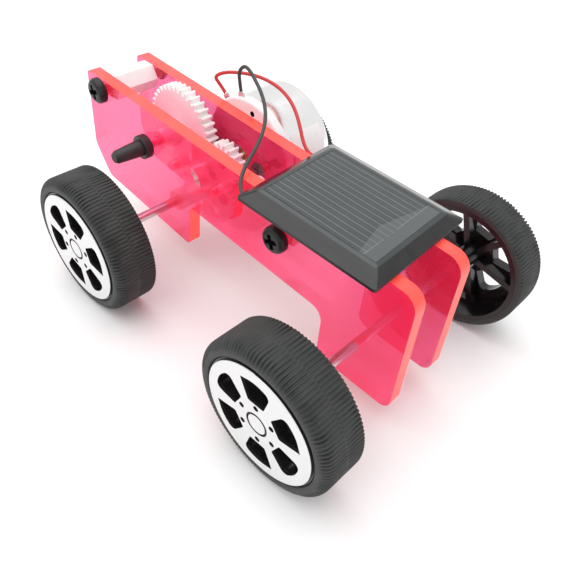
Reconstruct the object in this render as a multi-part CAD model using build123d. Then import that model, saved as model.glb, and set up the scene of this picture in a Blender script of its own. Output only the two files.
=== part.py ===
from build123d import *
import os
from math import acos, atan2, cos, degrees, pi, radians, sin, tan

# Solar-powered toy car: two clear side plates, four wheels, a gear train and a panel.
# Millimetres. +X is forward, +Y is the motor's side, +Z is up. The origin is on the ground,
# in the middle of the car's length and width.

# ---------------------------------------------------------------- driving dimensions
WHEEL_R = 15.0
TYRE_WIDTH = 9.1
WHEELBASE = 56.4
FRONT_AXLE_X = 34.2
REAR_AXLE_X = FRONT_AXLE_X - WHEELBASE
AXLE_Z = WHEEL_R
AXLE_R = 1.0
SHAFT_CLEARANCE = 0.05

PLATE_T = 2.8
PLATE_GAP = 10.3
PLATES_MID_Y = -1.1
NEAR_IN = PLATES_MID_Y - PLATE_GAP / 2
NEAR_OUT = NEAR_IN - PLATE_T
FAR_IN = PLATES_MID_Y + PLATE_GAP / 2
FAR_OUT = FAR_IN + PLATE_T

# Distance from the car's mid plane to each wheel's inner face: far side, then near side.
FRONT_WHEEL_IN = (24.2, 24.2)
REAR_WHEEL_IN = (24.2, 22.5)

# Side plate corners (x, z) with each corner's radius, from the top rear corner round.
TOP_REAR = (-47.5, 38.4)
TOP_FRONT = (44.1, 33.6)
PLATE_CORNERS = [
    (TOP_REAR, 1.0),
    ((-49.2, 19.3), 2.5),
    ((-44.7, 12.2), 2.5),
    ((-13.8, 8.8), 1.3),
    ((-13.0, 19.8), 1.0),
    ((25.9, 17.4), 3.0),
    ((25.7, 5.4), 2.4),
    ((44.0, 5.0), 2.4),
    (TOP_FRONT, 3.4),
]
TOP_SLOPE = (TOP_REAR[1] - TOP_FRONT[1]) / (TOP_FRONT[0] - TOP_REAR[0])
TOP_TILT = degrees(atan2(TOP_SLOPE, 1))

# Standoffs and their screws.
REAR_STANDOFF = (-43.0, 35.2)
FRONT_STANDOFF = (13.4, 27.5)
STANDOFF_ACROSS_FLATS = 5.5
SCREW_R = 1.5
SCREW_HEAD_R = 2.8
SCREW_HEAD_H = 1.9
FAR_SCREW_HEAD_R = 2.1
FAR_SCREW_HEAD_H = 1.1
SCREW_LENGTH = 6.0
CROSS_RECESS = (3.2, 1.0, 1.2)
FLAT_HEAD_R = 1.85
FLAT_HEAD_H = 1.0
FLAT_HEAD_LENGTH = 4.4
FLAT_HEAD_CROSS = (2.4, 0.5, 0.25)

# Gear train: module 0.5, every pair of teeth counts adds up to 58.
MODULE = 0.5
IDLER_LARGE_TEETH = 40
MOTOR_TEETH = 18
IDLER_SMALL_TEETH = 22
AXLE_TEETH = 36
GEAR_DISTANCE = MODULE * (IDLER_LARGE_TEETH + MOTOR_TEETH) / 2
AXLE_TO_IDLER_ANGLE = 108.0
IDLER_TO_MOTOR_ANGLE = -6.6
PRESSURE_ANGLE = radians(20)
TOOTH_THINNING = 0.09
ADDENDUM = 0.9 * MODULE
DEDENDUM = 1.25 * MODULE


def polar(centre, distance, angle):
    """The point at a distance and an angle in degrees from a centre."""
    return centre[0] + distance * cos(radians(angle)), centre[1] + distance * sin(radians(angle))


REAR_AXLE = (REAR_AXLE_X, AXLE_Z)
FRONT_AXLE = (FRONT_AXLE_X, AXLE_Z)
IDLER = polar(REAR_AXLE, GEAR_DISTANCE, AXLE_TO_IDLER_ANGLE)
MOTOR = polar(IDLER, GEAR_DISTANCE, IDLER_TO_MOTOR_ANGLE)

# Places of the gears across the car: (from y, to y).
GEAR_FACE_GAP = 0.3
LARGE_GEAR_Y = (-0.4, 2.3)
SMALL_GEAR_Y = (LARGE_GEAR_Y[1], FAR_IN - GEAR_FACE_GAP)
AXLE_GEAR_Y = (2.65, 3.65)
IDLER_HUB_R = 2.2
AXLE_GEAR_HUB_R = 2.4
LIGHTENING_HOLE_R = 1.8
LIGHTENING_CIRCLE_R = 6.2

# Motor.
END_CAP_T = 2.0
END_CAP_R = 12.5
CAN_R = 12.4
CAN_LENGTH = 11.5
CAN_WALL = 0.5
CAN_Y = FAR_OUT + END_CAP_T
CAN_END = CAN_Y + CAN_LENGTH
BOSS_R = 3.2
BOSS_H = 1.5
BEARING_R = 1.9
MOTOR_SHAFT_R = 1.0
MOTOR_SCREW_SPACING = 13.0
MOTOR_SCREW_R = 1.0
VENT = (10.2, 82.0)
TERMINAL_ANGLES = (126.0, 103.0)
TERMINAL_Y = FAR_OUT + 0.9
TERMINAL_WIDTH = 1.6
TERMINAL_T = 0.4
TERMINAL_TIP_R = 13.3
LABEL_ANGLES = (-70.0, 38.5)
LABEL_Y = (9.7, 18.5)
LABEL_T = 0.08
MAGNET_R = (9.8, CAN_R - CAN_WALL)
MAGNET_Y = (10.6, 18.6)
ARMATURE_Y = (11.4, 17.2)
ARMATURE_CORE_R = 2.4
POLE_COUNT = 3
POLE_SIZE = (6.4, 2.2)
POLE_MIDDLE_R = 5.0
SHOE_R = (7.8, 9.2)
SHOE_WIDTH = 12.5
COIL_OUTSIDE = (3.8, 7.6, 4.6)
COIL_INSIDE = (5.0, 5.8, 2.2)
COIL_MIDDLE_R = 5.2
COMMUTATOR_R = 2.1
COMMUTATOR_Y = (CAN_Y + 0.2, 10.9)
BRUSH_SIZE = (6.0, 1.6, 0.3)
BRUSH_OFFSET = 2.4
SHAFT_PROUD = 0.2

# Solar panel, in a frame that lies on the plates' top edges.
PANEL_X = 23.1
PANEL_Y = -1.1
PANEL_YAW = 2.0
PANEL_LENGTH = 30.6
PANEL_WIDTH = 26.2
PANEL_TOP = (26.0, 20.4)
TAPE_T = 0.8
BOARD_T = 0.6
RESIN_T = 1.5
CELL_T = 0.15
CELL_MARGIN = 0.8
TAPE_LENGTH = 26.5

WIRE_D = 0.75
# The leads' routes, from the motor's terminals to the pads under the panel.
RED_ROUTE = [
    (-20.13, 7.75, 37.92), (-21.6, 7.4, 39.6), (-22.9, 6.8, 41.2), (-20.7, 8.4, 42.5),
    (-16.6, 10.8, 42.9), (-12.8, 12.2, 42.7), (-9.1, 12.6, 42.1), (-5.8, 12.3, 41.1),
    (-3.0, 11.5, 39.7), (-0.4, 10.3, 37.7), (1.9, 9.0, 35.6), (4.5, 8.3, 34.1),
    (7.0, 8.7, 34.8), (9.1, 9.13, 35.59), (11.1, 9.2, 35.49),
]
BLACK_ROUTE = [
    (-15.28, 7.75, 40.12), (-15.7, 7.75, 41.93), (-16.1, 7.8, 44.4), (-15.0, 8.4, 45.9),
    (-13.1, 8.3, 45.3), (-10.6, 7.5, 44.3), (-7.9, 6.4, 43.4), (-4.6, 4.5, 42.0),
    (-1.7, 1.7, 40.4), (0.4, -1.9, 38.9), (1.8, -5.3, 37.8), (3.1, -8.3, 36.9),
    (4.8, -10.7, 35.8), (7.0, -12.1, 35.1), (9.2, -12.6, 35.52), (11.2, -12.53, 35.42),
]
SOLDER_LENGTH = 1.5
SOLDER_H = 1.1


# ---------------------------------------------------------------- small helpers
def side_plane(y):
    """A plane across the car at y, with its own x along +X and its own y along +Z."""
    return Plane(origin=(0, y, 0), x_dir=(1, 0, 0), z_dir=(0, -1, 0))


def across(sketch, y_from, y_to):
    """A sketch in (x, z) carried from y_from to y_to."""
    return extrude(side_plane(y_to) * sketch, amount=y_to - y_from)


def disc(centre, radius, y_from, y_to):
    """A round bar along Y about a centre (x, z)."""
    return across(Pos(*centre) * Circle(radius), y_from, y_to)


def ring(centre, outer_r, inner_r, y_from, y_to):
    """A round tube along Y."""
    return across(Pos(*centre) * (Circle(outer_r) - Circle(inner_r)), y_from, y_to)


def turned(points):
    """A solid turned about the Y axis from (radius, y) points."""
    return revolve(make_face(Polyline(*points, close=True)), axis=Axis.Y)


def save(name, shape):
    """Writes one sub-part."""
    export_step(shape, f"parts/{name}.step")


# ---------------------------------------------------------------- chassis
def plate_outline():
    points = [corner for corner, _ in PLATE_CORNERS]
    radii = [radius for _, radius in PLATE_CORNERS]
    return make_face(FilletPolyline(*points, radius=radii, close=True))


def plate_holes():
    """Every hole of a side plate: axles, idler shaft, standoff screws and the motor's seat."""
    shaft_hole = AXLE_R + SHAFT_CLEARANCE
    holes = [Pos(*centre) * Circle(shaft_hole) for centre in (REAR_AXLE, FRONT_AXLE, IDLER)]
    holes += [Pos(*centre) * Circle(SCREW_R + 0.1) for centre in (REAR_STANDOFF, FRONT_STANDOFF)]
    holes.append(Pos(*MOTOR) * Circle(BOSS_R + 0.1))
    holes += [Pos(*centre) * Circle(MOTOR_SCREW_R + 0.1) for centre in motor_screw_places()]
    return Sketch() + holes


def motor_screw_places():
    return [(MOTOR[0] + side * MOTOR_SCREW_SPACING / 2, MOTOR[1]) for side in (-1, 1)]


def countersunk_screw(centre):
    """A motor screw with its flat head flush in the far plate's inner face."""
    screw = turned([
        (0, 0), (FLAT_HEAD_R, 0), (MOTOR_SCREW_R, FLAT_HEAD_H),
        (MOTOR_SCREW_R, FLAT_HEAD_LENGTH), (0, FLAT_HEAD_LENGTH),
    ])
    length, width, depth = FLAT_HEAD_CROSS
    cross = Box(length, 2 * depth, width) + Box(width, 2 * depth, length)
    return Pos(centre[0], FAR_IN, centre[1]) * (screw - cross)


def side_plate(y_from, y_to):
    return across(plate_outline() - plate_holes(), y_from, y_to)


def far_plate():
    plate = side_plate(FAR_IN, FAR_OUT)
    for centre in motor_screw_places():
        sink = turned([
            (0, 0), (FLAT_HEAD_R + 0.1, 0), (MOTOR_SCREW_R + 0.1, FLAT_HEAD_H), (0, FLAT_HEAD_H)])
        plate -= Pos(centre[0], FAR_IN, centre[1]) * sink
    return plate


def standoff(centre):
    hexagon = RegularPolygon(STANDOFF_ACROSS_FLATS / 2, 6, major_radius=False)
    return across(Pos(*centre) * (hexagon - Circle(SCREW_R)), NEAR_IN, FAR_IN)


def pan_screw(centre, side):
    """A standoff screw: side -1 goes in from the near plate, +1 from the far plate."""
    head_r, head_h = (SCREW_HEAD_R, SCREW_HEAD_H) if side < 0 else (FAR_SCREW_HEAD_R, FAR_SCREW_HEAD_H)
    head = Cylinder(head_r, head_h, align=(Align.CENTER, Align.CENTER, Align.MIN))
    head = fillet(head.edges().sort_by(Axis.Z)[-1], head_h * 0.6)
    length, width, depth = CROSS_RECESS
    depth = min(depth, head_h * 0.6)
    recess = Box(length, width, 2 * depth) + Box(width, length, 2 * depth)
    head -= Pos(0, 0, head_h) * recess
    shank = Cylinder(SCREW_R, SCREW_LENGTH, align=(Align.CENTER, Align.CENTER, Align.MAX))
    face_y = NEAR_OUT if side < 0 else FAR_OUT
    return Pos(centre[0], face_y, centre[1]) * Rot(-90 * side, 0, 0) * Rot(0, 0, 20) * (head + shank)


# ---------------------------------------------------------------- wheels
HUB_R = 13.6
BARREL_WALL = 1.0
LIP_R = 12.3
LIP_T = 1.8
WEB_IN = 7.0
RIB_DEPTH = 2.4
RIB_T = 1.4
AXLE_SEAT_END = TYRE_WIDTH - 1.6
FACE_R = 11.9
FACE_T = 0.6
FACE_PROUD = 0.2
WHEEL_BOSS_R = 2.6
WINDOW_COUNT = 6
WINDOW_R = (5.2, 9.8)
WINDOW_SPAN = 40.0
DIMPLE_R = 0.55
DIMPLE_CIRCLE_R = 3.95
HUB_GROOVE_R = (1.95, 2.4)


def window(sharp_side):
    """One wheel window about angle 0. sharp_side -1, 0 or +1 is the side with the pointed corner."""
    inner_r, outer_r = WINDOW_R
    half = radians(WINDOW_SPAN / 2)
    corners = [
        (inner_r * cos(half), -inner_r * sin(half)),
        (outer_r * cos(half), -outer_r * sin(half)),
        (outer_r * 1.03, 0),
        (outer_r * cos(half), outer_r * sin(half)),
        (inner_r * cos(half), inner_r * sin(half)),
    ]
    low = 0.15 if sharp_side < 0 else 1.2
    high = 0.15 if sharp_side > 0 else 1.2
    return make_face(FilletPolyline(*corners, radius=[0.5, low, 6.0, high, 0.5], close=True))


def windows():
    """All the windows of one wheel, with their pointed corners in mirrored pairs."""
    sharp = [0, -1, 1, 0, -1, 1]
    return Sketch() + [Rot(0, 0, 30 + 60 * i) * window(sharp[i]) for i in range(WINDOW_COUNT)]


def wheel_hub():
    """The black moulding inside the tyre, with its outer face at y = TYRE_WIDTH."""
    face_seat = TYRE_WIDTH + FACE_PROUD - FACE_T
    lip_y = TYRE_WIDTH - LIP_T
    shell = turned([
        (AXLE_R, 1.0), (WHEEL_BOSS_R, 1.0), (WHEEL_BOSS_R, WEB_IN),
        (HUB_R - BARREL_WALL - 0.8, WEB_IN), (HUB_R - BARREL_WALL, WEB_IN - 1.2),
        (HUB_R - BARREL_WALL, 0), (HUB_R, 0), (HUB_R, lip_y), (LIP_R - 0.1, lip_y),
        (LIP_R - 0.1, face_seat), (0, face_seat), (0, AXLE_SEAT_END), (AXLE_R, AXLE_SEAT_END),
    ])
    shell -= across(windows(), 0, TYRE_WIDTH + 1)
    ribs = Part()
    for i in range(WINDOW_COUNT):
        arm = Pos((WHEEL_BOSS_R + HUB_R - BARREL_WALL) / 2, WEB_IN - RIB_DEPTH / 2 + 0.2, 0)
        arm *= Box(HUB_R - BARREL_WALL - WHEEL_BOSS_R + 0.3, RIB_DEPTH, RIB_T)
        ribs += Rot(0, 60 * i, 0) * arm
    return shell + ribs


def wheel_face():
    """The silver disc on the wheel's outer face."""
    y_out = TYRE_WIDTH + FACE_PROUD
    face = disc((0, 0), FACE_R, y_out - FACE_T, y_out)
    face = fillet(face.edges().sort_by(Axis.Y)[-1], 0.25)
    face -= across(windows(), 0, y_out + 1)
    for i in range(WINDOW_COUNT):
        face -= disc(polar((0, 0), DIMPLE_CIRCLE_R, 30 + 60 * i), DIMPLE_R, y_out - 0.4, y_out + 1)
    return face - ring((0, 0), HUB_GROOVE_R[1], HUB_GROOVE_R[0], y_out - 0.3, y_out + 1)


def tyre():
    """A rubber tyre: tread band, rounded shoulders and a lip over the hub's outer edge."""
    band = turned([
        (HUB_R, 0), (WHEEL_R, 0), (WHEEL_R, TYRE_WIDTH), (LIP_R, TYRE_WIDTH),
        (LIP_R, TYRE_WIDTH - LIP_T), (HUB_R, TYRE_WIDTH - LIP_T),
    ])
    outer_edges = band.edges().filter_by(GeomType.CIRCLE).filter_by(lambda e: e.radius > WHEEL_R - 0.01)
    inner_shoulder, outer_shoulder = outer_edges.sort_by(Axis.Y)
    band = fillet(outer_shoulder, 1.3)
    inner_shoulder = band.edges().filter_by(GeomType.CIRCLE).sort_by(Axis.Y).filter_by(
        lambda e: e.radius > WHEEL_R - 0.01)[0]
    return fillet(inner_shoulder, 0.6)


def place_wheel(piece, axle_x, inner_y, side, phase):
    """Puts a wheel piece on its axle: side +1 is far, -1 is near. phase turns its windows."""
    turn = Rot(0, -phase, 0) if side > 0 else Rot(0, 0, 180) * Rot(0, phase, 0)
    return Pos(axle_x, side * inner_y, AXLE_Z) * turn * piece


# ---------------------------------------------------------------- gears
def involute(angle):
    return tan(angle) - angle


def tooth_flank(teeth, flank_steps=5):
    """Half of one tooth: (radius, half angle) from the root to the tip."""
    pitch_r = MODULE * teeth / 2
    base_r = pitch_r * cos(PRESSURE_ANGLE)
    tip_r = pitch_r + ADDENDUM
    root_r = pitch_r - DEDENDUM
    half_at_pitch = (pi * MODULE / 2 - TOOTH_THINNING) / 2 / pitch_r
    start_r = max(base_r, root_r)
    flank = []
    for step in range(flank_steps):
        radius = start_r + (tip_r - start_r) * step / (flank_steps - 1)
        slope = acos(base_r / radius)
        flank.append((radius, half_at_pitch + involute(PRESSURE_ANGLE) - involute(slope)))
    return [(root_r, flank[0][1])] + flank if root_r < start_r else flank


def gear_outline(teeth, first_tooth_angle):
    """The outline of a spur gear with a tooth centred on first_tooth_angle."""
    flank = tooth_flank(teeth)
    points = []
    for i in range(teeth):
        middle = radians(first_tooth_angle) + 2 * pi * i / teeth
        for radius, half in flank:
            points.append((radius * cos(middle - half), radius * sin(middle - half)))
        for radius, half in reversed(flank):
            points.append((radius * cos(middle + half), radius * sin(middle + half)))
    return make_face(Polyline(*points, close=True))


def spur_gear(centre, teeth, first_tooth_angle, span):
    blank = gear_outline(teeth, first_tooth_angle) - Circle(AXLE_R)
    return across(Pos(*centre) * blank, *span)


def idler_gear():
    """A large and a small ring of teeth side by side, with a long hub that keeps them in place."""
    large = spur_gear(IDLER, IDLER_LARGE_TEETH, IDLER_TO_MOTOR_ANGLE, LARGE_GEAR_Y)
    small = spur_gear(IDLER, IDLER_SMALL_TEETH, AXLE_TO_IDLER_ANGLE + 180, SMALL_GEAR_Y)
    hub = ring(IDLER, IDLER_HUB_R, AXLE_R, NEAR_IN + GEAR_FACE_GAP, LARGE_GEAR_Y[0])
    return large + small + hub


def motor_gear():
    half_tooth = 180 / MOTOR_TEETH
    return spur_gear(MOTOR, MOTOR_TEETH, IDLER_TO_MOTOR_ANGLE + 180 + half_tooth, LARGE_GEAR_Y)


def rear_axle_gear():
    half_tooth = 180 / AXLE_TEETH
    gear = spur_gear(REAR_AXLE, AXLE_TEETH, AXLE_TO_IDLER_ANGLE + half_tooth, AXLE_GEAR_Y)
    gear += ring(REAR_AXLE, AXLE_GEAR_HUB_R, AXLE_R, NEAR_IN + GEAR_FACE_GAP, AXLE_GEAR_Y[0])
    gear += ring(REAR_AXLE, AXLE_GEAR_HUB_R, AXLE_R, AXLE_GEAR_Y[1], FAR_IN - GEAR_FACE_GAP)
    places = [polar(REAR_AXLE, LIGHTENING_CIRCLE_R, 60 * i) for i in range(6)]
    lightening = [Pos(*place) * Circle(LIGHTENING_HOLE_R) for place in places]
    return gear - across(Sketch() + lightening, *AXLE_GEAR_Y)


CAP_COLLAR_R = 2.6
CAP_COLLAR_L = 1.9
CAP_LENGTH = 8.3
CAP_NOSE_R = (1.8, 1.65, 1.4, 1.05)
CAP_GAP = 0.1
CAP_BORE_DEPTH = 5.0
SHAFT_END_Y = FAR_OUT + 0.4


def shaft_cap():
    """A push-on cap that keeps the idler shaft in: a collar and a long rounded nose."""
    face = NEAR_OUT - CAP_GAP
    collar_end = face - CAP_COLLAR_L
    tip = face - CAP_LENGTH
    base_r, middle_r, end_r, tip_r = CAP_NOSE_R
    cap = turned([
        (0, face), (CAP_COLLAR_R - 0.2, face), (CAP_COLLAR_R, face - 0.2),
        (CAP_COLLAR_R, collar_end + 0.15), (CAP_COLLAR_R - 0.15, collar_end), (base_r, collar_end),
        (middle_r, collar_end - 2.5), (end_r, tip + 0.6), (tip_r, tip), (0, tip),
    ])
    return Pos(IDLER[0], 0, IDLER[1]) * cap - disc(IDLER, AXLE_R, face - CAP_BORE_DEPTH, face)


def idler_shaft():
    return disc(IDLER, AXLE_R, NEAR_OUT - CAP_GAP - CAP_BORE_DEPTH, SHAFT_END_Y)


# ---------------------------------------------------------------- motor
def motor_end_cap():
    cap = disc(MOTOR, END_CAP_R, FAR_OUT, CAN_Y)
    cap = fillet(cap.edges().sort_by(Axis.Y)[0], 0.6)
    cap += disc(MOTOR, BOSS_R, FAR_OUT - BOSS_H, FAR_OUT)
    cap -= disc(MOTOR, BEARING_R, FAR_OUT - BOSS_H - 1, CAN_Y + 1)
    cap -= disc(polar(MOTOR, *VENT), 0.6, FAR_OUT - 1, CAN_Y + 1)
    for centre in motor_screw_places():
        cap -= disc(centre, MOTOR_SCREW_R, FAR_OUT - 1, CAN_Y + 1)
    return cap


def motor_can():
    can = disc(MOTOR, CAN_R, CAN_Y, CAN_END)
    can = fillet(can.edges().sort_by(Axis.Y)[-1], 0.9)
    can -= disc(MOTOR, CAN_R - CAN_WALL, CAN_Y - 1, CAN_END - CAN_WALL)
    can += disc(MOTOR, BOSS_R, CAN_END - CAN_WALL, CAN_END + 1.0)
    return can - disc(MOTOR, BEARING_R, CAN_Y, CAN_END + 0.6)


def motor_bearings():
    """Two brass bushes, one in the end cap's boss and one in the can's closed end."""
    bore_r = MOTOR_SHAFT_R + 0.03
    near = ring(MOTOR, BEARING_R, bore_r, FAR_OUT - BOSS_H, CAN_Y)
    far = ring(MOTOR, BEARING_R, bore_r, CAN_END - CAN_WALL - 0.6, CAN_END + 0.6)
    return Part() + [near, far]


def motor_label():
    """A thin sleeve part of the way round the can."""
    low, high = LABEL_ANGLES
    sector = make_face(Polyline(
        (0, 0), *[polar((0, 0), 20, low + (high - low) * i / 4) for i in range(5)], close=True))
    band = ring(MOTOR, CAN_R + LABEL_T, CAN_R, *LABEL_Y)
    return band & across(Pos(*MOTOR) * sector, *LABEL_Y)


def motor_terminals():
    """Two tin-plated solder tabs that stand out of the end cap's rim."""
    tabs = Part()
    for angle in TERMINAL_ANGLES:
        length = TERMINAL_TIP_R - END_CAP_R
        tab = Pos(END_CAP_R + length / 2, 0, 0) * Box(length, TERMINAL_T, TERMINAL_WIDTH)
        tabs += Pos(MOTOR[0], TERMINAL_Y, MOTOR[1]) * Rot(0, -angle, 0) * tab
    return tabs


def motor_armature():
    """Three laminated poles on a core."""
    core = Circle(ARMATURE_CORE_R)
    inner_r, outer_r = SHOE_R
    for i in range(POLE_COUNT):
        pole = Pos(POLE_MIDDLE_R, 0) * Rectangle(*POLE_SIZE)
        shoe = (Circle(outer_r) - Circle(inner_r)) & Pos(outer_r, 0) * Rectangle(outer_r, SHOE_WIDTH)
        core += Rot(0, 0, 90 + 120 * i) * (pole + shoe)
    return across(Pos(*MOTOR) * (core - Circle(MOTOR_SHAFT_R)), *ARMATURE_Y)


def motor_coils():
    """A coil of wire round each pole."""
    coils = Part()
    middle_y = (ARMATURE_Y[0] + ARMATURE_Y[1]) / 2
    for i in range(POLE_COUNT):
        coil = Pos(COIL_MIDDLE_R, 0, 0) * (Box(*COIL_OUTSIDE) - Box(*COIL_INSIDE))
        coils += Pos(MOTOR[0], middle_y, MOTOR[1]) * Rot(0, -90 - 120 * i, 0) * coil
    return coils


def motor_commutator():
    return ring(MOTOR, COMMUTATOR_R, MOTOR_SHAFT_R, *COMMUTATOR_Y)


def motor_brushes():
    """Two spring strips, one each side of the commutator, held by the end cap."""
    strips = Part()
    for side in (-1, 1):
        middle = (MOTOR[0], CAN_Y + BRUSH_SIZE[1] / 2, MOTOR[1] + side * BRUSH_OFFSET)
        strips += Pos(*middle) * Box(*BRUSH_SIZE)
    return strips


# ---------------------------------------------------------------- solar panel
PANEL_BASE_Z = TOP_REAR[1] - TOP_SLOPE * (PANEL_X - TOP_REAR[0])
PLATE_TOP_FRAME = Pos(PANEL_X, 0, PANEL_BASE_Z) * Rot(0, TOP_TILT, 0)
PANEL_FRAME = PLATE_TOP_FRAME * Pos(0, PANEL_Y, TAPE_T) * Rot(0, 0, PANEL_YAW)


def panel_board():
    return PANEL_FRAME * extrude(RectangleRounded(PANEL_LENGTH, PANEL_WIDTH, 0.6), amount=BOARD_T)


def panel_resin():
    """The resin casting: bevelled on all four sides, with a shallow seat for the cells."""
    bottom = Plane.XY.offset(BOARD_T) * RectangleRounded(PANEL_LENGTH, PANEL_WIDTH, 0.6)
    top = Plane.XY.offset(BOARD_T + RESIN_T) * RectangleRounded(*PANEL_TOP, 0.6)
    body = loft([bottom.face(), top.face()])
    seat = Pos(0, 0, BOARD_T + RESIN_T) * Box(*cell_size(), 2 * CELL_T)
    return PANEL_FRAME * (body - seat)


def cell_size():
    return PANEL_TOP[0] - 2 * CELL_MARGIN, PANEL_TOP[1] - 2 * CELL_MARGIN


def solar_cells():
    middle = BOARD_T + RESIN_T - CELL_T / 2
    return PANEL_FRAME * Pos(0, 0, middle) * Box(*cell_size(), CELL_T)


def solder_joints():
    """Two soldered pads under the board, where the leads end."""
    joints = Part()
    for route in (RED_ROUTE, BLACK_ROUTE):
        local = PANEL_FRAME.inverse() * Pos(*route[-1])
        middle = Pos(local.position.X + SOLDER_LENGTH / 2, local.position.Y, -SOLDER_H / 2)
        joints += PANEL_FRAME * middle * Box(SOLDER_LENGTH, SOLDER_LENGTH, SOLDER_H)
    return joints


def panel_tape(plate_in, plate_out):
    """A strip of foam tape along a plate's top edge, under the panel."""
    width = abs(plate_out - plate_in) - 0.2
    strip = Pos(0.3, (plate_in + plate_out) / 2, TAPE_T / 2) * Box(TAPE_LENGTH, width, TAPE_T)
    return PLATE_TOP_FRAME * strip


# ---------------------------------------------------------------- leads
def lead(name, route):
    """An insulated lead: straight runs joined by tangent arcs as large as the runs allow."""
    points = [Vector(*point) for point in route]
    runs = [b - a for a, b in zip(points, points[1:])]
    radii = []
    for before, after in zip(runs, runs[1:]):
        turn = radians(before.get_angle(after))
        radii.append(0.45 * min(before.length, after.length) / tan(turn / 2))
    path = FilletPolyline(*points, radius=radii)
    section = Plane(origin=path @ 0, z_dir=path % 0) * Circle(WIRE_D / 2)
    tube = sweep(section, path=path)
    expected = pi * WIRE_D ** 2 / 4 * path.length
    print(name, "length", round(path.length, 1), "volume", round(tube.volume, 2), "of", round(expected, 2))
    print("  radii", [round(r, 1) for r in radii])
    return tube


# ---------------------------------------------------------------- the whole car
def save_wheels():
    """Tyre, hub and face of each wheel. The phase is how far each wheel happens to be turned."""
    places = {
        "front_far": (FRONT_AXLE_X, FRONT_WHEEL_IN[0], 1, -12.0),
        "front_near": (FRONT_AXLE_X, FRONT_WHEEL_IN[1], -1, 4.0),
        "rear_far": (REAR_AXLE_X, REAR_WHEEL_IN[0], 1, 20.0),
        "rear_near": (REAR_AXLE_X, REAR_WHEEL_IN[1], -1, -16.0),
    }
    pieces = {"tyre": tyre(), "wheel_hub": wheel_hub(), "wheel_face": wheel_face()}
    for corner, place in places.items():
        for kind, piece in pieces.items():
            save(f"{corner}_{kind}", place_wheel(piece, *place))


def save_axles():
    """Each axle ends inside its two hubs."""
    for name, x, (far_in, near_in) in (
        ("front_axle", FRONT_AXLE_X, FRONT_WHEEL_IN),
        ("rear_axle", REAR_AXLE_X, REAR_WHEEL_IN),
    ):
        save(name, disc((x, AXLE_Z), AXLE_R, -near_in - AXLE_SEAT_END, far_in + AXLE_SEAT_END))


def save_chassis():
    save("near_side_plate", side_plate(NEAR_OUT, NEAR_IN))
    save("far_side_plate", far_plate())
    save("rear_standoff", standoff(REAR_STANDOFF))
    save("front_standoff", standoff(FRONT_STANDOFF))
    save("standoff_screws", Part() + [
        pan_screw(centre, side) for centre in (REAR_STANDOFF, FRONT_STANDOFF) for side in (-1, 1)])
    save("motor_screws", Part() + [countersunk_screw(centre) for centre in motor_screw_places()])


def save_drive():
    save("idler_gear", idler_gear())
    save("idler_shaft", idler_shaft())
    save("idler_shaft_cap", shaft_cap())
    save("motor_gear", motor_gear())
    save("rear_axle_gear", rear_axle_gear())


def save_motor():
    save("motor_end_cap", motor_end_cap())
    save("motor_can", motor_can())
    save("motor_bearings", motor_bearings())
    save("motor_label", motor_label())
    save("motor_terminals", motor_terminals())
    save("motor_magnet", ring(MOTOR, MAGNET_R[1], MAGNET_R[0], *MAGNET_Y))
    save("motor_armature", motor_armature())
    save("motor_coils", motor_coils())
    save("motor_commutator", motor_commutator())
    save("motor_brushes", motor_brushes())
    save("motor_shaft", disc(MOTOR, MOTOR_SHAFT_R, LARGE_GEAR_Y[0] - SHAFT_PROUD, CAN_END + 0.5))


def save_panel():
    save("panel_board", panel_board())
    save("panel_resin", panel_resin())
    save("solar_cells", solar_cells())
    save("panel_solder_joints", solder_joints())
    save("near_foam_tape", panel_tape(NEAR_IN, NEAR_OUT))
    save("far_foam_tape", panel_tape(FAR_IN, FAR_OUT))


save_chassis()
save_wheels()
save_axles()
save_drive()
save_motor()
save_panel()
save("red_lead", lead("red_lead", RED_ROUTE))
save("black_lead", lead("black_lead", BLACK_ROUTE))
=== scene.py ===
# %% [markdown]
# # A small solar car on four ribbed wheels
# Two clear red side plates are held apart by white spacers. Between them a train of white gears
# turns the rear axle, a round motor sits on the far plate, and a small solar panel is taped across
# the top. The engineering model brings every rigid part at its true size and place. This lesson
# adds what makes it look real: a finish for each material, ribbed tyres, flexible leads, solder,
# the panel's casting, and a soft white studio.

# %% Load the frame
import math

import bmesh
import bpy
from mathutils import Matrix, Vector, noise


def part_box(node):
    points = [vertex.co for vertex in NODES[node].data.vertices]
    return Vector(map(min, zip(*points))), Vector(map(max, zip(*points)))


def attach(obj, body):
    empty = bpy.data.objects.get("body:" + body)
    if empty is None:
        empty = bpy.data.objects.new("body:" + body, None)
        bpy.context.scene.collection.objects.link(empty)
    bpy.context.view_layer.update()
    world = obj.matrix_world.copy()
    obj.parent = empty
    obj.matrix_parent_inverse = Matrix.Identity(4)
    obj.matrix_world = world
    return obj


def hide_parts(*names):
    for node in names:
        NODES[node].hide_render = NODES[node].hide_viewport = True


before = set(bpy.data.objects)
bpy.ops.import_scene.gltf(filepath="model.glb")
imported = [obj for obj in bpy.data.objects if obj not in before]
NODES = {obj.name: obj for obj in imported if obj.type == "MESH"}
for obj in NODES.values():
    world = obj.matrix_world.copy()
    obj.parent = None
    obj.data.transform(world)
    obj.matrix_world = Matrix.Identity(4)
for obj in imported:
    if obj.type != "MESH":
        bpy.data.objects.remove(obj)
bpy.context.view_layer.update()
MM = 0.001
CAR_BODY = "chassis"

# %% [markdown]
# ## Shader maths in plain Python
# A Blender material is a graph of nodes. Long chains of Math nodes are hard to read, so a small
# class wraps a socket: writing `1 - mask * 0.5` adds the nodes for us. A second class holds one
# finish while it is being mixed, with a single method that adds any node.

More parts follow.
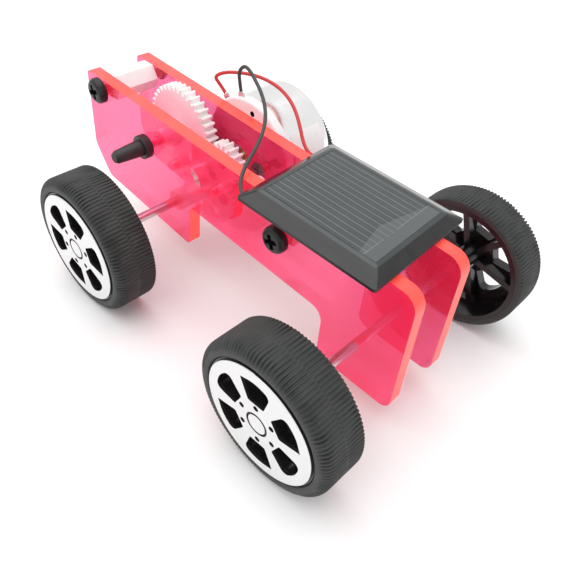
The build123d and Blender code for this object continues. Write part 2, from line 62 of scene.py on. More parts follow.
# %% A wrapped socket
class Value:
    """A shader value: arithmetic on it adds Math nodes."""

    def __init__(self, finish, socket):
        self.finish = finish
        self.socket = socket

    def __add__(self, other):
        return self.finish.math("ADD", self, other)

    def __sub__(self, other):
        return self.finish.math("SUBTRACT", self, other)

    def __rsub__(self, other):
        return self.finish.math("SUBTRACT", other, self)

    def __mul__(self, other):
        return self.finish.math("MULTIPLY", self, other)

    def __truediv__(self, other):
        return self.finish.math("DIVIDE", self, other)

    __radd__ = __add__
    __rmul__ = __mul__


# %% A finish while it is mixed
class Finish:
    """One material. Lengths in its patterns are in millimetres of the piece's own space."""

    def __init__(self, name):
        self.material = bpy.data.materials.new(name)
        self.material.use_nodes = True
        self.tree = self.material.node_tree
        self.tree.nodes.clear()
        self.coordinates = self.node("ShaderNodeTexCoord", output="Object")
        self.mm = self.node("ShaderNodeVectorMath", {"operation": "SCALE"},
                            {0: self.coordinates, "Scale": 1 / MM})

    def node(self, kind, settings=None, sockets=None, output=0):
        """Adds a node: its settings first, then the values or links of its sockets."""
        made = self.tree.nodes.new(kind)
        for key, value in (settings or {}).items():
            setattr(made, key, value)
        for key, value in (sockets or {}).items():
            if isinstance(value, Value):
                self.tree.links.new(value.socket, made.inputs[key])
            else:
                made.inputs[key].default_value = value
        return Value(self, made.outputs[output])

    def math(self, operation, *values):
        return self.node("ShaderNodeMath", {"operation": operation}, dict(enumerate(values)))

    def blend(self, amount, first, second):
        """A colour between two colours."""
        sockets = {0: amount, 6: first, 7: second}
        return self.node("ShaderNodeMix", {"data_type": "RGBA"}, sockets, output=2)

    def axis(self, vector, name):
        return self.node("ShaderNodeSeparateXYZ", None, {0: vector}, output=name)

    def grain(self, size, detail=2.0, stretch=(1, 1, 1)):
        """Noise from 0 to 1. Its blotches are this many millimetres, and stretch along an axis."""
        scale = tuple(1 / (size * s) for s in stretch)
        vector = self.node("ShaderNodeMapping", None, {"Vector": self.mm, "Scale": scale})
        sockets = {"Vector": vector, "Scale": 1.0, "Detail": detail}
        return self.node("ShaderNodeTexNoise", None, sockets)

    def bump(self, height, depth):
        """A normal from a height of 0 to 1 that stands for this depth in millimetres."""
        return self.node("ShaderNodeBump", None, {"Height": height, "Distance": depth * MM})

    def glossy(self, **looks):
        """A Principled shader: names such as base_color stand for its sockets."""
        sockets = {key.replace("_", " ").title(): value for key, value in looks.items()}
        return self.node("ShaderNodeBsdfPrincipled", None, sockets)

    def done(self, surface):
        output = self.tree.nodes.new("ShaderNodeOutputMaterial")
        self.tree.links.new(surface.socket, output.inputs["Surface"])
        return self.material


def grey(level, warmth=0.0):
    """A grey, which leans to red and away from blue as it gets warmer."""
    return (level * (1 + warmth), level, level * (1 - warmth), 1.0)


def paint(material, *names):
    """Gives CAD parts their finish without touching their meshes."""
    for name in names:
        slots = NODES[name].material_slots
        if not slots:
            NODES[name].data.materials.append(material)
        for slot in slots:
            slot.material = material


print("finishes can be mixed")

# %% [markdown]
# ## Clear fluorescent acrylic
# The side plates are laser-cut sheets of clear pink-red acrylic. Light passes straight through
# their faces and is tinted each time, and the cut edges look coral and almost solid. The glow of
# the dye on faces and cut edges is painted light: an emission that shines the same whatever light
# falls on it. Coloured Transparent shaders give the tint and coloured shadows without slow
# refraction. The face or the edge is told apart by the surface's own direction: the faces look
# along Y. The walls of the holes would glow like the edges, but on the real sheet they hardly
# show, so places near a hole's axis are left clear. So is an edge looked at from inside the sheet,
# where it only passes the light on. The far plate stands in the shade of the motor and the panel,
# so its painted glow is dimmer, as painted shade.

# %% Holes in the plates
def middle_of(name):
    """The middle of a part's box in millimetres."""
    low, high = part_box(name)
    return (low + high) / 2 / MM


MOTOR_AXIS = middle_of("motor_shaft")
MOTOR_SCREW_OFFSET = Vector((6.5, 0, 0))
SHAFT_CLEAR_R = 1.4
STANDOFF_CLEAR_R = 1.9
MOTOR_CLEAR_R = 3.6
MOTOR_SCREW_CLEAR_R = 2.2
HOLES = [(middle_of(name), SHAFT_CLEAR_R) for name in ("front_axle", "rear_axle", "idler_shaft")]
HOLES += [(middle_of(name), STANDOFF_CLEAR_R) for name in ("front_standoff", "rear_standoff")]
HOLES += [(MOTOR_AXIS, MOTOR_CLEAR_R)]
HOLES += [(MOTOR_AXIS + offset, MOTOR_SCREW_CLEAR_R)
          for offset in (MOTOR_SCREW_OFFSET, -MOTOR_SCREW_OFFSET)]
print(len(HOLES), "holes in each plate")


# %% Round places in a pattern
def near_axis(mix, centre, radius):
    """1 within a radius of an axis along Y, and 0 elsewhere."""
    flat = mix.node("ShaderNodeVectorMath", {"operation": "MULTIPLY"}, {0: mix.mm, 1: (1, 0, 1)})
    away = mix.node("ShaderNodeVectorMath", {"operation": "DISTANCE"},
                    {0: flat, 1: (centre.x, 0, centre.z)}, output="Value")
    return mix.math("LESS_THAN", away, radius)


print("round places can be marked")

# %% Acrylic
FACE_TINT = (1.0, 0.59, 0.82, 1.0)
EDGE_TINT = (1.0, 0.30, 0.34, 1.0)
FACE_DYE = (1.0, 0.030, 0.10, 1.0)
EDGE_DYE = (1.0, 0.085, 0.06, 1.0)
# Painted light: the cut edges glow by emission, from least to most.
EDGE_PAINTED_GLOW_LOW = (0.24, 0.012, 0.010, 1.0)
EDGE_PAINTED_GLOW_HIGH = (0.50, 0.060, 0.040, 1.0)
FACE_SOLID = 0.34
EDGE_SOLID = 0.80
EDGE_NORMAL_Y = 0.7
ACRYLIC_IOR = 1.45
SHINE_SHARE = 0.35


def clear_acrylic(name, low_glow, high_glow):
    """One plate's acrylic. Its painted glow is an emission, given at its least and most."""
    mix = Finish(name)
    normal = mix.node("ShaderNodeTexCoord", output="Normal")
    across = mix.math("ABSOLUTE", mix.axis(normal, "Y"))
    in_hole = near_axis(mix, *HOLES[0])
    for hole in HOLES[1:]:
        in_hole = mix.math("MAXIMUM", in_hole, near_axis(mix, *hole))
    inside = mix.node("ShaderNodeNewGeometry", output="Backfacing")
    edge = mix.math("LESS_THAN", across, EDGE_NORMAL_Y) * (1 - in_hole) * (1 - inside)
    wave = mix.bump(mix.grain(9.0, 1.0), 0.02)
    clear_face = mix.node("ShaderNodeBsdfTransparent", None, {0: FACE_TINT})
    clear_edge = mix.node("ShaderNodeBsdfTransparent", None, {0: EDGE_TINT})
    clear = mix.node("ShaderNodeMixShader", None, {0: edge, 1: clear_face, 2: clear_edge})
    body_colour = mix.blend(edge, FACE_DYE, EDGE_DYE)
    cloud = mix.grain(14.0, 2.0)
    # Painted glow: emission on faces and edges that shines whatever light falls on it.
    face_glow = mix.blend(cloud, low_glow, high_glow)
    edge_glow = mix.blend(mix.grain(7.0, 2.0), EDGE_PAINTED_GLOW_LOW, EDGE_PAINTED_GLOW_HIGH)
    glow = mix.blend(edge, face_glow, edge_glow)
    body = mix.glossy(base_color=body_colour, roughness=0.35, emission_color=glow,
                      emission_strength=1.0, normal=wave)
    solid = FACE_SOLID + edge * (EDGE_SOLID - FACE_SOLID)
    sheet = mix.node("ShaderNodeMixShader", None, {0: solid, 1: clear, 2: body})
    shine = mix.node("ShaderNodeBsdfGlossy", None,
                     {"Color": grey(0.9), "Roughness": 0.03, "Normal": wave})
    facing = mix.node("ShaderNodeFresnel", None, {"IOR": ACRYLIC_IOR}) * SHINE_SHARE
    return mix.done(mix.node("ShaderNodeMixShader", None, {0: facing, 1: sheet, 2: shine}))


# %% Near and far plates
# Painted glow of each plate's faces, least and most; the far plate's is dimmer as painted shade
# from the motor and the panel.
NEAR_PAINTED_GLOW = (0.30, 0.001, 0.004, 1.0), (0.52, 0.012, 0.030, 1.0)
FAR_SHADED_PAINTED_GLOW = (0.02, 0.001, 0.001, 1.0), (0.16, 0.006, 0.014, 1.0)
paint(clear_acrylic("near_acrylic", *NEAR_PAINTED_GLOW), "near_side_plate")
paint(clear_acrylic("far_acrylic", *FAR_SHADED_PAINTED_GLOW), "far_side_plate")
print("plates are clear")

# %% [markdown]
# ## White nylon
# The gears and the hexagonal spacers are moulded nylon: white, a little milky and softly shiny. A
# faint blotchy noise keeps the white from looking flat.

# %% Nylon
def white_nylon():
    mix = Finish("white_nylon")
    cloud = mix.grain(2.5)
    colour = mix.blend(cloud, (0.86, 0.85, 0.84, 1.0), (0.95, 0.94, 0.93, 1.0))
    rough = 0.36 + cloud * 0.14
    return mix.done(mix.glossy(base_color=colour, roughness=rough,
                               normal=mix.bump(mix.grain(0.4), 0.01)))


paint(white_nylon(), "idler_gear", "motor_gear", "rear_axle_gear",
      "rear_standoff", "front_standoff")
print("gears and spacers are nylon")

# %% [markdown]
# ## Metal parts
# The axles are drawn steel with fine lines along them, the screws are blackened, the motor's can
# is bright plated sheet and the bushes are brass. The motor's screws are steel painted dark and
# reddish, as painted shade of the dim red space behind the plates. All are metals that differ in
# colour, roughness and grain.

# %% Bare metals
def drawn_metal(name, colour, roughness, line=(1, 12, 1), size=0.15, shade_by=0.8):
    """Metal with fine lines: how they are stretched, their size, and how dark they go."""
    mix = Finish(name)
    lines = mix.grain(size, 3.0, line)
    darker = tuple(c * shade_by for c in colour[:3]) + (1.0,)
    shade = mix.blend(lines, darker, colour)
    rough = roughness + lines * 0.12
    return mix.done(mix.glossy(base_color=shade, metallic=1.0, roughness=rough,
                               normal=mix.bump(lines, 0.006)))


STEEL = drawn_metal("drawn_steel", grey(0.74), 0.16)
CAN_STEEL = drawn_metal("plated_sheet", grey(0.97, 0.004), 0.14, (1, 2, 1), 1.6, 0.95)
BRASS = drawn_metal("brass", (0.80, 0.60, 0.28, 1.0), 0.3)
COPPER = drawn_metal("copper", (0.76, 0.38, 0.22, 1.0), 0.3)
TIN = drawn_metal("tinned", grey(0.80, 0.01), 0.22, (1, 1, 1), 0.4)
# Painted shade: the motor's screws are darkened and reddened to sit in the dim red shade.
SHADED_STEEL = drawn_metal("shaded_steel", (0.30, 0.26, 0.26, 1.0), 0.35)
paint(STEEL, "front_axle", "rear_axle", "idler_shaft", "motor_shaft", "motor_armature")
paint(SHADED_STEEL, "motor_screws")
paint(CAN_STEEL, "motor_can")
paint(BRASS, "motor_bearings", "motor_brushes")
paint(COPPER, "motor_coils", "motor_commutator")
paint(TIN, "motor_terminals")
print("metals are set")

# %% Blackened screws
def black_oxide():
    mix = Finish("black_oxide")
    patch = mix.grain(0.6, 4.0)
    colour = mix.blend(patch, grey(0.010), grey(0.035))
    return mix.done(mix.glossy(base_color=colour, metallic=0.4, roughness=0.26 + patch * 0.22,
                               normal=mix.bump(mix.grain(0.25), 0.012)))


paint(black_oxide(), "standoff_screws")
print("screws are black")

# %% [markdown]
# ## Plastics
# A moulding's finish is mostly its roughness: glossy hubs, a satin cap, a shiny white motor end, a
# paper-smooth label. One recipe with a cloudy noise in colour and roughness, and a fine bump,
# makes them.

# %% Moulded plastic
def moulded(name, low, high, roughness, grain=0.35, depth=0.01):
    """Plastic between two colours, with a bump of this size and depth."""
    mix = Finish(name)
    cloud = mix.grain(3.0, 3.0)
    colour = mix.blend(cloud, low, high)
    return mix.done(mix.glossy(base_color=colour, roughness=roughness + cloud * 0.12,
                               normal=mix.bump(mix.grain(grain), depth)))


HUB_BLACK = moulded("glossy_black", grey(0.006), grey(0.014), 0.16)
CAP_BLACK = moulded("satin_black", grey(0.014), grey(0.026), 0.36, 0.2, 0.02)
LABEL_WHITE = moulded("label_film", grey(0.84), grey(0.88), 0.24, 1.5, 0.01)
FOAM = moulded("white_foam", grey(0.74), grey(0.88), 0.7, 0.3, 0.12)
FERRITE = moulded("ferrite", grey(0.05), grey(0.09), 0.6)
BOARD = moulded("black_board", grey(0.008), grey(0.02), 0.4, 0.6, 0.02)
paint(CAP_BLACK, "idler_shaft_cap")
paint(LABEL_WHITE, "motor_label")
paint(FOAM, "near_foam_tape", "far_foam_tape")
paint(FERRITE, "motor_magnet")
paint(BOARD, "panel_board")
WHEELS = [f"{end}_{side}" for end in ("front", "rear") for side in ("far", "near")]
paint(HUB_BLACK, *[f"{wheel}_wheel_hub" for wheel in WHEELS])
print("plastics are set")

# %% Motor end cap
VENT_ANGLE = math.radians(82.0)
VENT_CIRCLE_R = 10.2
VENT_SHADE_R = 0.62


def vented_white():
    """Shiny white, with painted shade: black where the vent hole is dark inside."""
    mix = Finish("motor_white")
    cloud = mix.grain(3.0, 3.0)
    vent = MOTOR_AXIS + VENT_CIRCLE_R * Vector((math.cos(VENT_ANGLE), 0, math.sin(VENT_ANGLE)))
    white = mix.blend(cloud, grey(0.80), grey(0.88, 0.004))
    # Painted shade: a black spot for the dark inside of the vent.
    colour = mix.blend(near_axis(mix, vent, VENT_SHADE_R), white, grey(0.01))
    return mix.done(mix.glossy(base_color=colour, roughness=0.22 + cloud * 0.12,
                               normal=mix.bump(mix.grain(0.35), 0.01)))


paint(vented_white(), "motor_end_cap")
print("the motor's end is white")

# %% [markdown]
# ## Silver wheel faces
# Only the outermost surface of each wheel is silvered, as if stamped with foil: the window walls,
# the small dimples and the ring round the middle stay black. The finish asks how far out a point
# lies, and which way it looks, and silvers only what is at the face.

# %% Silver face
FOIL_DEPTH = 0.2
FOIL_NORMAL_Y = 0.4


def silver_face(name, face_y):
    """Foil on the outermost surface, which lies this far from the middle, and black elsewhere."""
    mix = Finish(name)
    outward = mix.math("ABSOLUTE", mix.axis(mix.mm, "Y"))
    high = mix.math("GREATER_THAN", outward, face_y - FOIL_DEPTH)
    normal = mix.node("ShaderNodeTexCoord", output="Normal")
    facing = mix.math("GREATER_THAN", mix.math("ABSOLUTE", mix.axis(normal, "Y")), FOIL_NORMAL_Y)
    silver = high * facing
    flake = mix.grain(0.12, 2.0)
    foil = mix.blend(flake, grey(0.74), grey(0.86))
    colour = mix.blend(silver, grey(0.012), foil)
    return mix.done(mix.glossy(base_color=colour, metallic=silver * 0.35,
                               roughness=0.30 + flake * 0.12, normal=mix.bump(flake, 0.004)))


for wheel in WHEELS:
    low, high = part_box(f"{wheel}_wheel_face")
    outer_y = max(abs(low.y), abs(high.y)) / MM
    paint(silver_face(f"{wheel}_silver", outer_y), f"{wheel}_wheel_face")
print("wheel faces are silver")

# %% [markdown]
# ## Ribbed tyres
# The tyres are soft rubber with fine, slightly wavy ribs across the tread in two staggered rows,
# deepest at the outer shoulder. One cross-section is spun round the axle in many small steps, and
# then every other pair of steps is pushed in a little, which cuts all the grooves at once.

# %% Tyre cross-section
TYRE_WALL_R = 13.62
TYRE_LIP_R = 12.32
TYRE_LIP_W = 7.32
RIB_COUNT = 120
STEPS_PER_RIB = 4
# Each point is (radius, distance from the inner face, depth of the groove there).
TYRE_SECTION = [
    (TYRE_WALL_R, 0.02, 0.0), (14.45, 0.02, 0.06), (14.86, 0.16, 0.24), (15.0, 0.50, 0.30),
    (15.0, 1.8, 0.24), (15.0, 3.0, 0.18), (15.0, 4.1, 0.15), (15.0, 4.35, 0.06),
    (15.0, 4.6, 0.15), (15.0, 5.8, 0.16), (15.0, 6.9, 0.20), (14.97, 7.6, 0.30),
    (14.80, 8.15, 0.36), (14.45, 8.6, 0.36), (14.0, 8.92, 0.28), (13.5, 9.06, 0.14),
    (13.0, 9.08, 0.0), (12.5, 9.0, 0.0),
    (TYRE_LIP_R, 8.75, 0.0), (TYRE_LIP_R, TYRE_LIP_W, 0.0), (TYRE_WALL_R, TYRE_LIP_W, 0.0),
]
ROW_SPLIT = 4.35
WAVER = 0.7
WAVER_ROUND = 9
WAVER_ACROSS = 0.5
print("tyre section of", len(TYRE_SECTION), "points")


# %% Grooves in the tread
def groove_depth(out, depth, angle):
    """How far in a tread point is pushed: grooves take half of each rib's pitch."""
    pitch = 2 * math.pi / RIB_COUNT
    stagger = 0.5 if out < ROW_SPLIT else 0.0
    half_step = 0.5 / STEPS_PER_RIB
    phase = (angle / pitch + stagger + half_step) % 1.0
    place = (math.cos(angle) * WAVER_ROUND, out * WAVER_ACROSS, math.sin(angle) * WAVER_ROUND)
    return depth * (1 + WAVER * noise.noise(Vector(place))) if phase < 0.5 else 0.0


def tyre_mesh():
    """A tyre about the Y axis, with its inner side at y = 0."""
    form = bmesh.new()
    section = [form.verts.new((r * MM, w * MM, 0)) for r, w, _ in TYRE_SECTION]
    edges = [form.edges.new(pair) for pair in zip(section, section[1:] + section[:1])]
    steps = RIB_COUNT * STEPS_PER_RIB
    bmesh.ops.spin(form, geom=section + edges, cent=(0, 0, 0), axis=(0, 1, 0), angle=2 * math.pi,
                   steps=steps, use_merge=True)
    depths = {(round(r, 3), round(w, 3)): depth for r, w, depth in TYRE_SECTION}
    for vert in form.verts:
        radius = math.hypot(vert.co.x, vert.co.z)
        out = round(vert.co.y / MM, 3)
        depth = depths[(round(radius / MM, 3), out)]
        new_radius = radius - groove_depth(out, depth, math.atan2(vert.co.z, vert.co.x)) * MM
        vert.co.x *= new_radius / radius
        vert.co.z *= new_radius / radius
    bmesh.ops.recalc_face_normals(form, faces=form.faces)
    return form


print(RIB_COUNT, "ribs round each tyre")

# %% Rubber
def tyre_rubber():
    mix = Finish("tyre_rubber")
    cloud = mix.grain(4.0, 4.0)
    dust = mix.grain(0.5, 3.0)
    colour = mix.blend(cloud, (0.018, 0.020, 0.019, 1.0), (0.036, 0.039, 0.037, 1.0))
    rough = 0.46 + dust * 0.22
    return mix.done(mix.glossy(base_color=colour, roughness=rough, normal=mix.bump(dust, 0.02)))


RUBBER = tyre_rubber()
print("rubber is mixed")


# %% A piece from a form
def add_piece(name, form, material, body, smooth=False):
    """Turns a bmesh into a piece at the origin that rides on a body."""
    mesh = bpy.data.meshes.new(name)
    form.to_mesh(mesh)
    form.free()
    mesh.materials.append(material)
    for polygon in mesh.polygons:
        polygon.use_smooth = smooth
    piece = bpy.data.objects.new(name, mesh)
    bpy.context.scene.collection.objects.link(piece)
    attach(piece, body)
    return piece


print("forms can become pieces")

# %% Put the tyres on
for wheel in WHEELS:
    low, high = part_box(f"{wheel}_tyre")
    centre = (low + high) / 2
    far = "far" in wheel
    turn = Matrix.Identity(4) if far else Matrix.Rotation(math.pi, 4, "Z")
    inner_face = low.y if far else high.y
    form = tyre_mesh()
    bmesh.ops.transform(form, matrix=Matrix.Translation((centre.x, inner_face, centre.z)) @ turn,
                        verts=form.verts)
    axle_body = wheel.split("_")[0] + "_axle_set"
    tyre = add_piece(f"{wheel}_ribbed_tyre", form, RUBBER, axle_body)
    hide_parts(f"{wheel}_tyre")
print("tyre faces:", len(tyre.data.polygons))

# %% [markdown]
# ## The panel's casting
# The solar panel is a board with its cells under black resin that was cast with sloping sides. Its
# edges are soft, so a sharp tapered block would look wrong. A box is tapered by moving its top
# corners in, its top is inset and lowered to seat the cells, and its slanting edges are bevelled.

# %% Panel frame
PANEL_TILT = math.radians(3.0)
PANEL_YAW = math.radians(2.0)
RESIN_BASE = (30.6, 26.2)
RESIN_TOP = (26.0, 20.4)
RESIN_H = 1.5
CELL_T = 0.15
board_low, board_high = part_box("panel_board")
board_middle = (board_low + board_high) / 2
TILT = Matrix.Rotation(PANEL_TILT, 4, "Y")
BOARD_FRAME = Matrix.Translation(board_middle) @ TILT @ Matrix.Rotation(PANEL_YAW, 4, "Z")
BOARD_HALF_T = 0.3
print("panel middle at", [round(c / MM, 1) for c in board_middle])

# %% Resin
SLATE_DARK = (0.030, 0.038, 0.040, 1.0)
SLATE_PALE = (0.052, 0.058, 0.060, 1.0)
TOP_SKIN = 0.16


def in_panel(mix):
    """The place on the panel: x along it, y across it, z up from the board's middle."""
    frame_of_panel = {"Vector": mix.mm, "Location": tuple(board_middle / MM),
                      "Rotation": (0, PANEL_TILT, PANEL_YAW)}
    return mix.node("ShaderNodeMapping", {"vector_type": "TEXTURE"}, frame_of_panel)


def cast_resin():
    """Glossy black at the slopes, and as slate as the cells on the flat top."""
    mix = Finish("cast_resin")
    height = mix.axis(in_panel(mix), "Z")
    on_top = mix.math("GREATER_THAN", height, BOARD_HALF_T + RESIN_H - TOP_SKIN)
    smear = mix.grain(2.2, 3.0, (5, 1, 1))
    slope = mix.blend(smear, grey(0.002), grey(0.022))
    cloud = mix.grain(5.0, 3.0)
    colour = mix.blend(on_top, slope, mix.blend(cloud, SLATE_DARK, SLATE_PALE))
    return mix.done(mix.glossy(base_color=colour, roughness=0.04 + smear * 0.16,
                               normal=mix.bump(mix.grain(3.0), 0.10)))


print("resin is", RESIN_H, "mm high")

# %% Resin casting
EDGE_BEVEL = 0.7
BEVEL_STEPS = 6
CELL_RIM = 0.05
CELL_SEAT = 0.8 * CELL_T


def resin_mesh():
    """The casting: a tapered block with soft edges and a shallow seat for the cells."""
    form = bmesh.new()
    bmesh.ops.create_cube(form, size=MM)
    bmesh.ops.scale(form, vec=(RESIN_BASE[0], RESIN_BASE[1], RESIN_H), verts=form.verts)
    top = [vert for vert in form.verts if vert.co.z > 0]
    shrink = (RESIN_TOP[0] / RESIN_BASE[0], RESIN_TOP[1] / RESIN_BASE[1], 1)
    bmesh.ops.scale(form, vec=shrink, verts=top)
    rim = [edge for edge in form.edges if any(vert in top for vert in edge.verts)]
    bmesh.ops.bevel(form, geom=rim, offset=EDGE_BEVEL * MM, segments=BEVEL_STEPS, profile=0.5,
                    affect="EDGES", material=-1)
    lid = max(form.faces, key=lambda face: face.calc_center_median().z)
    bmesh.ops.inset_region(form, faces=[lid], thickness=CELL_RIM * MM, depth=0)
    bmesh.ops.inset_region(form, faces=[lid], thickness=0.01 * MM, depth=-CELL_SEAT * MM)
    lift = Matrix.Translation((0, 0, (BOARD_HALF_T + RESIN_H / 2) * MM))
    bmesh.ops.transform(form, matrix=BOARD_FRAME @ lift, verts=form.verts)
    return form


casting = add_piece("panel_resin_casting", resin_mesh(), cast_resin(), CAR_BODY)
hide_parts("panel_resin")
print("casting faces:", len(casting.data.polygons))

# %% [markdown]
# ## Solar cells
# Under the clear top skin lie slate-grey cells, cut into long strips by thin pale lines, with a
# fine cross line near the front. The lines are drawn in the panel's own directions: a Mapping node
# turns the piece's coordinates the way the panel was turned, so that the strips stay true to its
# edges. A paler patch at the front of the cells is a painted reflection of the light.

# %% Cells
STRIP_PITCH = 1.42
LINE_WIDTH = 0.15
CROSS_X = 9.7
CROSS_GAP = (-4.6, 0.2)
# Painted reflection: a paler patch at the front, edged along a slant.
REFLECTION_X = 7.2
REFLECTION_SPREAD = 0.22
REFLECTION_Y = -2.0
REFLECTION_GREY = (0.078, 0.086, 0.086, 1.0)
LINE_SILVER = (0.17, 0.18, 0.18, 1.0)


def slate_cells():
    """Slate with pale lines along x, one line across y, and a painted reflection at the front."""
    mix = Finish("slate_cells")
    place = in_panel(mix)
    x, y = mix.axis(place, "X"), mix.axis(place, "Y")
    strip = mix.math("FRACT", y / STRIP_PITCH + 40.5)
    line = mix.math("LESS_THAN", mix.math("ABSOLUTE", strip - 0.5), LINE_WIDTH / 2 / STRIP_PITCH)
    cross = mix.math("LESS_THAN", mix.math("ABSOLUTE", x - CROSS_X), LINE_WIDTH / 2)
    outside = mix.math("MAXIMUM", mix.math("LESS_THAN", y, CROSS_GAP[0]),
                       mix.math("GREATER_THAN", y, CROSS_GAP[1]))
    behind = mix.math("LESS_THAN", x, CROSS_X + 0.3)
    cloud = mix.grain(5.0, 3.0)
    # Painted reflection: paler slate ahead of a slanted edge near the front.
    reflection_edge = x - REFLECTION_SPREAD * mix.math("ABSOLUTE", y - REFLECTION_Y)
    patch = mix.math("GREATER_THAN", reflection_edge, REFLECTION_X)
    slate = mix.blend(patch, mix.blend(cloud, SLATE_DARK, SLATE_PALE), REFLECTION_GREY)
    silver = mix.math("MAXIMUM", line * behind, cross * outside)
    colour = mix.blend(silver * (0.55 + cloud * 0.45), slate, LINE_SILVER)
    return mix.done(mix.glossy(base_color=colour, roughness=0.16 + cloud * 0.06, coat_weight=0.5,
                               normal=mix.bump(mix.grain(6.0, 1.0), 0.03)))


paint(slate_cells(), "solar_cells")
print("cells are lined")

# %% [markdown]
# ## Leads
# Two thin insulated leads rise from the motor's tabs, fold over and run to pads under the panel. A
# NURBS curve follows a few listed points as a springy wire would, and a round bevel gives it
# thickness. Both ends are soldered, so both are on the car.

# %% Lead routes
LEAD_D = 0.75
RED_ROUTE = [
    (-20.13, 7.75, 37.92), (-21.6, 7.4, 39.6), (-22.9, 6.8, 41.2), (-20.7, 8.4, 42.5),
    (-16.6, 10.8, 42.9), (-12.8, 12.2, 42.7), (-9.1, 12.6, 42.1), (-5.8, 12.3, 41.1),
    (-3.0, 11.5, 39.7), (-0.4, 10.3, 37.7), (1.9, 9.0, 35.6), (4.5, 8.3, 34.1),
    (7.0, 8.7, 34.8), (9.1, 9.13, 35.59), (11.1, 9.2, 35.49),
]
BLACK_ROUTE = [
    (-15.28, 7.75, 40.12), (-15.7, 7.75, 41.93), (-16.1, 7.8, 44.4), (-15.0, 8.4, 45.9),
    (-13.1, 8.3, 45.3), (-10.6, 7.5, 44.3), (-7.9, 6.4, 43.4), (-4.6, 4.5, 42.0),
    (-1.7, 1.7, 40.4), (0.4, -1.9, 38.9), (1.8, -5.3, 37.8), (3.1, -8.3, 36.9),
    (4.8, -10.7, 35.8), (7.0, -12.1, 35.1), (9.2, -12.6, 35.52), (11.2, -12.53, 35.42),
]
print("two leads of", len(RED_ROUTE), "and", len(BLACK_ROUTE), "points")

# %% Insulation
def insulation(name, low, high):
    """Smooth soft plastic that is a little cloudy."""
    mix = Finish(name)
    cloud = mix.grain(1.5, 3.0)
    colour = mix.blend(cloud, low, high)
    return mix.done(mix.glossy(base_color=colour, roughness=0.32 + cloud * 0.12,
                               normal=mix.bump(mix.grain(0.2), 0.01)))


RED = insulation("red_insulation", (0.50, 0.020, 0.022, 1.0), (0.62, 0.035, 0.035, 1.0))
BLACK = insulation("black_insulation", grey(0.030), grey(0.045))
print("insulation is mixed")


# %% Leads
def lead(name, route, material):
    """A soldered lead along a route in millimetres."""
    line = bpy.data.curves.new(name, "CURVE")
    line.dimensions = "3D"
    spline = line.splines.new("NURBS")
    spline.points.add(len(route) - 1)
    for point, place in zip(spline.points, route):
        point.co = (*[c * MM for c in place], 1)
    spline.order_u = 3
    spline.use_endpoint_u = True
    spline.resolution_u = 8
    line.bevel_depth = LEAD_D / 2 * MM
    line.bevel_resolution = 5
    line.use_fill_caps = True
    line.materials.append(material)
    piece = bpy.data.objects.new(name, line)
    bpy.context.scene.collection.objects.link(piece)
    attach(piece, CAR_BODY)
    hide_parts(name.replace("_wire", ""))


lead("red_lead_wire", RED_ROUTE, RED)
lead("black_lead_wire", BLACK_ROUTE, BLACK)

# %% [markdown]
# ## Solder
# Each lead ends in a small frozen drop of solder. A ball is stretched along the joint and its
# surface is pushed in and out by smooth noise, so that no two drops are the same and none looks
# like a bearing.

# %% Solder drops
LUMPS = 0.14
LUMPS_PER_MM = 1.4
SEED_STEP = 7.0


def drop(form, place, size, seed):
    """Adds one uneven drop round a place, both in millimetres."""
    made = bmesh.ops.create_uvsphere(form, u_segments=24, v_segments=14, radius=MM)["verts"]
    for vert in made:
        lump = 1 + LUMPS * noise.noise(vert.co / MM * LUMPS_PER_MM + Vector((seed, 0, 0)))
        vert.co = Vector([c * s * lump for c, s in zip(vert.co, size)])
    bmesh.ops.translate(form, vec=Vector(place) * MM, verts=made)


def drops(name, places, sizes, material):
    """One piece made of several drops, each unlike the last."""
    form = bmesh.new()
    for i, (place, size) in enumerate(zip(places, sizes)):
        drop(form, place, size, i * SEED_STEP)
    return add_piece(name, form, material, CAR_BODY, smooth=True)


# %% Solder the leads
TAB_DROP = (0.42, 0.40, 0.5)
PAD_DROP = (0.85, 0.75, 0.5)
drops("terminal_solder", [RED_ROUTE[0], BLACK_ROUTE[0]], [TAB_DROP] * 2, TIN)
pad_places = [(x + 0.6, y, z + 0.1) for x, y, z in (RED_ROUTE[-1], BLACK_ROUTE[-1])]
pads = drops("pad_solder", pad_places, [PAD_DROP] * 2, TIN)
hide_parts("panel_solder_joints")
print("four drops of solder")

# %% [markdown]
# ## A bead of glue
# A kit built by hand has its small flaws: here a shiny bead of clear glue clings to the near plate
# just behind the panel. It is made as the solder is, as an uneven drop.

# %% Glue
BEAD_PLACE = (5.4, -5.95, 34.9)
BEAD_SIZE = (1.1, 0.5, 0.75)
GLUE_PALE = (0.95, 0.55, 0.66, 1.0)
GLUE_DEEP = (0.80, 0.20, 0.34, 1.0)
GLUE = moulded("clear_glue", GLUE_DEEP, GLUE_PALE, 0.04, 0.8, 0.08)
drops("glue_bead", [BEAD_PLACE], [BEAD_SIZE], GLUE)
print("one bead of glue")

# %% [markdown]
# ## The studio
# The car stands on a plain white table under a very large soft light, as in a catalogue picture. A
# big overhead light gives the floor its faint shadows, and a bright white surround fills
# everything else.

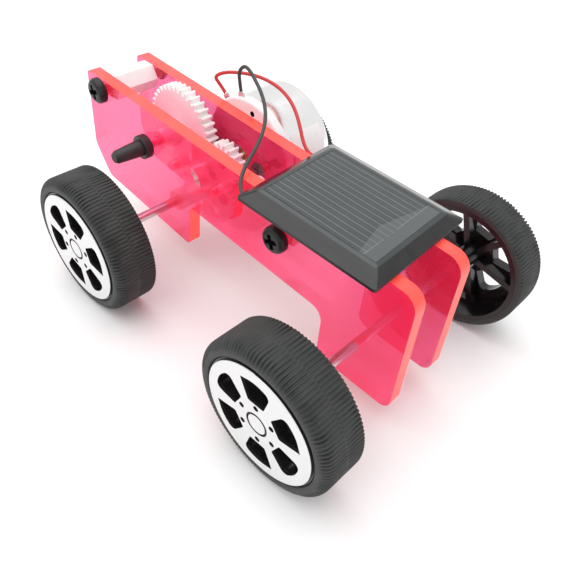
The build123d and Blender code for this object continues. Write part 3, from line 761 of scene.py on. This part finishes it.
# %% Floor
FLOOR_SIZE = 3.0
form = bmesh.new()
bmesh.ops.create_grid(form, x_segments=2, y_segments=2, size=FLOOR_SIZE / 2)
floor_mesh = bpy.data.meshes.new("floor")
form.to_mesh(floor_mesh)
form.free()
floor = bpy.data.objects.new("floor", floor_mesh)
bpy.context.scene.collection.objects.link(floor)
table_top = Finish("table_top")
floor_mesh.materials.append(table_top.done(table_top.glossy(base_color=grey(0.93), roughness=0.6)))
print("floor laid")

# %% Lights
LIGHT_PLACE = (-0.25, -0.10, 1.0)
LIGHT_WIDTH = 1.6
LIGHT_WATTS = 9.0
ROOM_BRIGHTNESS = 0.85
lamp = bpy.data.lights.new("ceiling_light", "AREA")
lamp.shape = "DISK"
lamp.size = LIGHT_WIDTH
lamp.energy = LIGHT_WATTS
ceiling_light = bpy.data.objects.new("ceiling_light", lamp)
ceiling_light.location = LIGHT_PLACE
bpy.context.scene.collection.objects.link(ceiling_light)
world = bpy.data.worlds.new("white_room")
bpy.context.scene.world = world
world.use_nodes = True
world.node_tree.nodes["Background"].inputs["Color"].default_value = grey(1.0)
world.node_tree.nodes["Background"].inputs["Strength"].default_value = ROOM_BRIGHTNESS
bpy.context.scene.view_settings.view_transform = "Standard"
print("lights on")

# %% [markdown]
# ## Camera
# The car is seen from its front left and from above, quite close, so the near wheel looks much
# larger than the far ones.

# %% Camera
CAMERA_PLACE = (0.07354, -0.07257, 0.09910)
CAMERA_AZIMUTH = 41.557
CAMERA_ELEVATION = 42.711
CAMERA_ROLL = 4.484
SENSOR_WIDTH = 36
FOCAL_LENGTH = 37.29
SHIFT = (0.0067, -0.0190)
lens = bpy.data.cameras.new("camera")
lens.sensor_width = SENSOR_WIDTH
lens.lens = FOCAL_LENGTH
lens.shift_x, lens.shift_y = SHIFT
lens.clip_start = 0.005
camera = bpy.data.objects.new("camera", lens)
turn = Matrix.Rotation(math.radians(CAMERA_AZIMUTH), 4, "Z")
lean = Matrix.Rotation(math.radians(90 - CAMERA_ELEVATION), 4, "X")
roll = Matrix.Rotation(math.radians(CAMERA_ROLL), 4, "Z")
camera.matrix_world = Matrix.Translation(CAMERA_PLACE) @ turn @ lean @ roll
bpy.context.scene.collection.objects.link(camera)
bpy.context.scene.camera = camera
print("camera at", CAMERA_PLACE)
